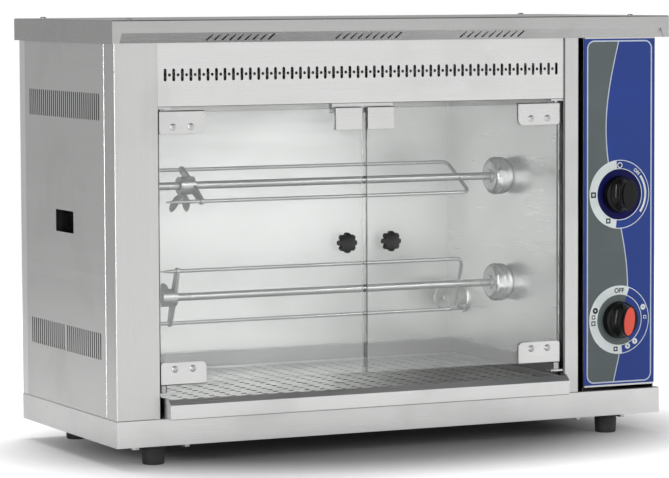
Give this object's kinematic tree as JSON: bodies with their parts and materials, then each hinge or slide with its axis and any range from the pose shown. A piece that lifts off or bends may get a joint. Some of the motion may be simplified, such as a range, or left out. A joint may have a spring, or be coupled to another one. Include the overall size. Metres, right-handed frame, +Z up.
{
  "type": "rotisserie oven",
  "caption": "Electric counter-top rotisserie oven in folded stainless steel with glass doors, turning spits with sliding forks, a pull-out drip drawer, a lamp and a printed control panel.",
  "frame": {"origin": "centre of the outline on the plane the feet stand on", "axes": "+Z up, +X to the right seen from the front, the front faces -Y"},
  "size_m": [1.0164, 0.4778, 0.7161],
  "materials": {
    "stainless": "satin brushed",
    "polished_steel": "bright",
    "zinc_steel": "zinc plated",
    "black_rubber": "matt",
    "brass": "turned",
    "cast_housing": "cast",
    "motor_paint": "satin paint",
    "element_steel": "heat darkened",
    "clear_glass": "clear",
    "bulb_glass": "clear",
    "white_ceramic": "glazed ceramic",
    "black_plastic": "moulded",
    "red_plastic": "printed",
    "printed_panel": "printed foil"
  },
  "bodies": {
    "chassis": {"base_plinth": "stainless", "base_bottom": "stainless", "left_front_post": "stainless", "right_front_post": "stainless", "left_side_panel": "stainless", "right_side_panel": "stainless", "back_panel": "stainless", "header_panel": "stainless", "top_cover": "stainless", "inner_left_wall": "stainless", "inner_right_wall": "stainless", "inner_back_wall": "stainless", "inner_ceiling": "stainless", "floor_liner": "stainless", "pivot_brackets": "stainless", "control_panel": "stainless", "lamp_flange": "stainless", "element_hangers": "stainless", "top_cover_screws": "polished_steel", "feet": "black_rubber", "base_bolts": "zinc_steel", "spit_bushes": "brass", "gearboxes": "cast_housing", "motors": "motor_paint", "heating_elements": "element_steel", "lamp_glass": "clear_glass", "lamp_bulb": "bulb_glass", "lamp_holder": "white_ceramic", "magnet_catch": "black_plastic", "control_overlay": "printed_panel", "upper_switch": "black_plastic", "lower_switch": "black_plastic", "terminal_block": "white_ceramic", "cable_gland": "black_plastic"},
    "left_door": {"left_door_glass": "clear_glass", "left_hinge_clamps": "stainless", "left_door_screws": "polished_steel", "left_hinge_pins": "polished_steel", "left_catch_plate": "stainless", "left_door_knob": "black_plastic"},
    "right_door": {"right_door_glass": "clear_glass", "right_hinge_clamps": "stainless", "right_door_screws": "polished_steel", "right_hinge_pins": "polished_steel", "right_catch_plate": "stainless", "right_door_knob": "black_plastic"},
    "drawer": {"drip_drawer": "stainless"},
    "grid": {"drip_grid": "stainless"},
    "upper_drive": {"upper_drive_bell": "polished_steel"},
    "upper_spit": {"upper_spit": "polished_steel"},
    "upper_fork": {"upper_fork": "polished_steel"},
    "upper_wing": {"upper_wing_screw": "polished_steel"},
    "lower_drive": {"lower_drive_bell": "polished_steel"},
    "lower_spit": {"lower_spit": "polished_steel"},
    "lower_fork": {"lower_fork": "polished_steel"},
    "lower_wing": {"lower_wing_screw": "polished_steel"},
    "upper_knob": {"upper_dial_knob": "black_plastic"},
    "lower_knob": {"lower_dial_knob": "black_plastic", "lower_knob_inlay": "red_plastic"}
  },
  "joints": [
    {"name": "left_door_swing", "type": "hinge", "parent": "chassis", "child": "left_door", "pos_m": [-0.41675, -0.19205, 0.334], "axis": [0, 0, -1], "range_deg": [0, 100]},
    {"name": "right_door_swing", "type": "hinge", "parent": "chassis", "child": "right_door", "pos_m": [0.30225, -0.19205, 0.334], "axis": [0, 0, 1], "range_deg": [0, 100]},
    {"name": "drawer_slide", "type": "slide", "parent": "chassis", "child": "drawer", "axis": [0, -1, 0], "range_m": [0, 0.33]},
    {"name": "grid_lift", "type": "slide", "parent": "drawer", "child": "grid", "axis": [0, 0, 1], "range_m": [0, 0.006]},
    {"name": "upper_spit_spin", "type": "hinge", "parent": "chassis", "child": "upper_drive", "pos_m": [0.29425, -0.00705, 0.437], "axis": [1, 0, 0], "continuous": true},
    {"name": "upper_spit_pull", "type": "slide", "parent": "upper_drive", "child": "upper_spit", "axis": [-1, 0, 0], "range_m": [0, 0.025]},
    {"name": "upper_fork_slide", "type": "slide", "parent": "upper_spit", "child": "upper_fork", "axis": [1, 0, 0], "range_m": [-0.02, 0.25]},
    {"name": "upper_wing_turn", "type": "hinge", "parent": "upper_fork", "child": "upper_wing", "pos_m": [-0.29975, -0.00705, 0.437], "axis": [0, 0.5, -0.866], "range_deg": [0, 360]},
    {"name": "lower_spit_spin", "type": "hinge", "parent": "chassis", "child": "lower_drive", "pos_m": [0.29425, -0.00705, 0.252], "axis": [1, 0, 0], "continuous": true},
    {"name": "lower_spit_pull", "type": "slide", "parent": "lower_drive", "child": "lower_spit", "axis": [-1, 0, 0], "range_m": [0, 0.025]},
    {"name": "lower_fork_slide", "type": "slide", "parent": "lower_spit", "child": "lower_fork", "axis": [1, 0, 0], "range_m": [0, 0.25]},
    {"name": "lower_wing_turn", "type": "hinge", "parent": "lower_fork", "child": "lower_wing", "pos_m": [-0.33375, -0.00705, 0.252], "axis": [0, 0.9354, 0.3535], "range_deg": [0, 360]},
    {"name": "upper_knob_turn", "type": "hinge", "parent": "chassis", "child": "upper_knob", "pos_m": [0.41925, -0.20305, 0.411], "axis": [0, 1, 0], "range_deg": [-90, 90]},
    {"name": "lower_knob_turn", "type": "hinge", "parent": "chassis", "child": "lower_knob", "pos_m": [0.41925, -0.20305, 0.197], "axis": [0, 1, 0], "range_deg": [0, 300]}
  ]
}
